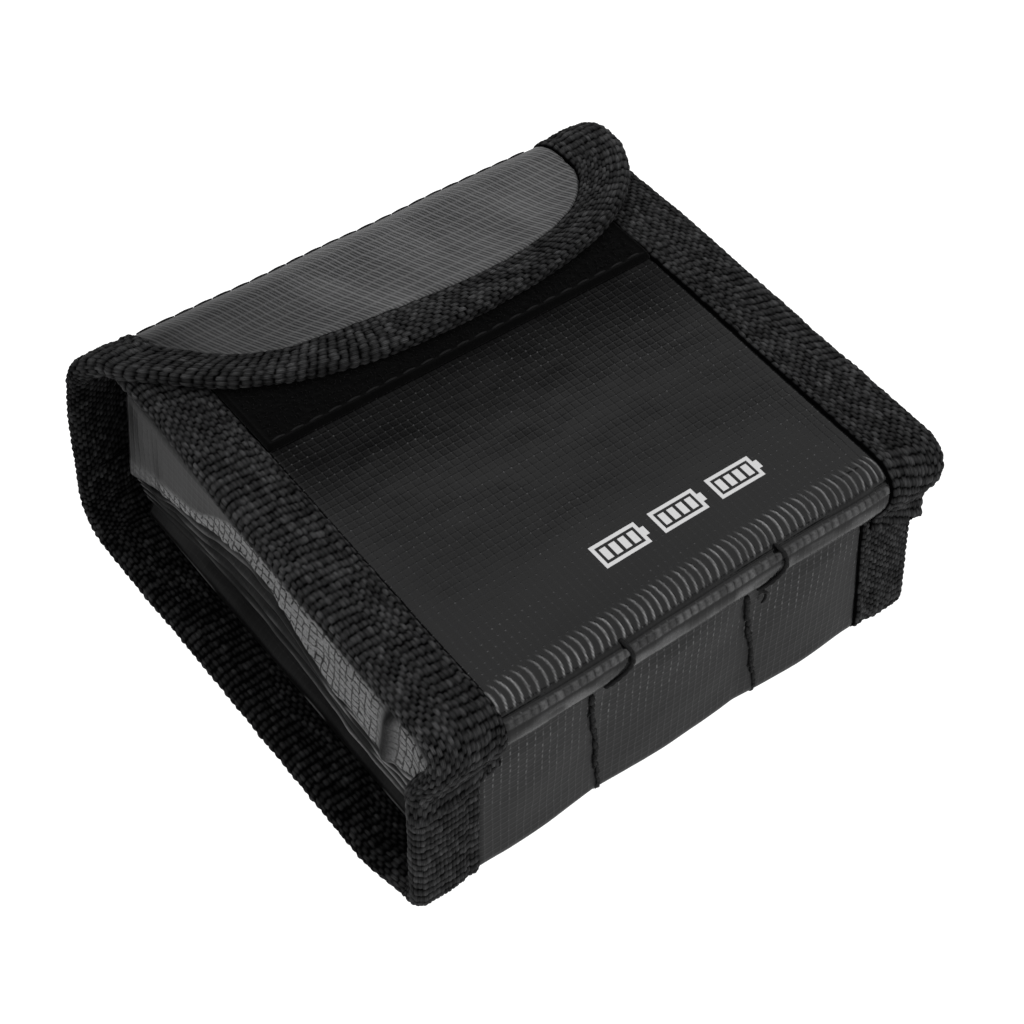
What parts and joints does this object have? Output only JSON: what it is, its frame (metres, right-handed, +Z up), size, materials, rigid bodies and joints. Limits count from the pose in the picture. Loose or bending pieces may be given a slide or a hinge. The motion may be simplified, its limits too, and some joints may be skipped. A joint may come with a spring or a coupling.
{
  "type": "battery safety pouch",
  "caption": "Small soft battery pouch lying on its back: webbing-bound coated cloth, bellows gussets, divided pockets and a hook-and-loop flap over the mouth.",
  "frame": {"origin": "centre of the pouch's footprint, on the floor plane, with the pouch lying on its back panel", "axes": "+X across the pouch to the right-hand gusset, +Y towards the mouth and the closing wall, +Z up through the front panel"},
  "size_m": [0.1, 0.0916, 0.0428],
  "materials": {
    "outer_cloth": "semi-gloss coated ripstop cloth, near black",
    "flap_cloth": "semi-gloss coated ripstop cloth, dark grey",
    "gusset_cloth": "thin crackled coated cloth, dark grey",
    "binding_tape": "matte woven webbing, black",
    "lining": "matte glass-fibre cloth, dark grey",
    "thread": "matte thread, black",
    "loop_pile": "deep matte pile, black",
    "hook_tape": "moulded hooks, black",
    "print": "screen-printed white ink"
  },
  "bodies": {
    "back": {"back_panel": "outer_cloth", "back_lining": "lining", "back_binding_left": "binding_tape", "back_binding_right": "binding_tape", "back_binding_stitches": "thread", "bottom_wall": "outer_cloth", "bottom_lining": "lining", "bottom_binding_left": "binding_tape", "bottom_binding_right": "binding_tape", "divider_seam_lower": "thread", "gusset_left": "gusset_cloth", "gusset_right": "gusset_cloth", "divider_left": "lining", "divider_right": "lining"},
    "roll": {"bottom_roll": "outer_cloth", "roll_lining": "lining", "roll_binding_left": "binding_tape", "roll_binding_right": "binding_tape", "divider_seam_upper": "thread"},
    "front": {"front_panel": "outer_cloth", "front_lining": "lining", "front_binding_left": "binding_tape", "front_binding_right": "binding_tape", "front_binding_stitches": "thread", "mouth_binding": "binding_tape", "loop_strip": "loop_pile", "loop_strip_stitches": "thread", "front_mark": "print"},
    "wall": {"closing_wall": "outer_cloth", "wall_lining": "lining", "wall_binding_left": "binding_tape", "wall_binding_right": "binding_tape", "wall_binding_stitches": "thread"},
    "flap": {"flap_panel": "flap_cloth", "flap_lining": "lining", "flap_binding": "binding_tape", "flap_binding_stitches": "thread", "hinge_stitches": "thread", "hook_strip": "hook_tape", "hook_strip_stitches": "thread"}
  },
  "joints": [
    {"name": "bellows_collapse", "type": "slide", "parent": "back", "child": "roll", "axis": [0, 0, -1], "range_m": [0, 0.026], "deforming": ["gusset_left", "gusset_right", "bottom_wall", "bottom_lining", "bottom_binding_left", "bottom_binding_right", "divider_seam_lower", "divider_left", "divider_right"]},
    {"name": "mouth_open", "type": "hinge", "parent": "roll", "child": "front", "pos_m": [0, -0.0405, 0.038], "axis": [1, 0, 0], "range_deg": [0, 12], "deforming": ["gusset_left", "gusset_right"]},
    {"name": "wall_fold", "type": "hinge", "parent": "back", "child": "wall", "pos_m": [0, 0.0438, 0.0017], "axis": [-1, 0, 0], "range_deg": [0, 90]},
    {"name": "flap_fold", "type": "hinge", "parent": "wall", "child": "flap", "pos_m": [0, 0.04096, 0.04129], "axis": [-1, 0, 0], "range_deg": [0, 180]}
  ],
  "couplings": [
    {"joint": "mouth_open", "follows": "wall_fold", "ratio": 0.1333}
  ]
}
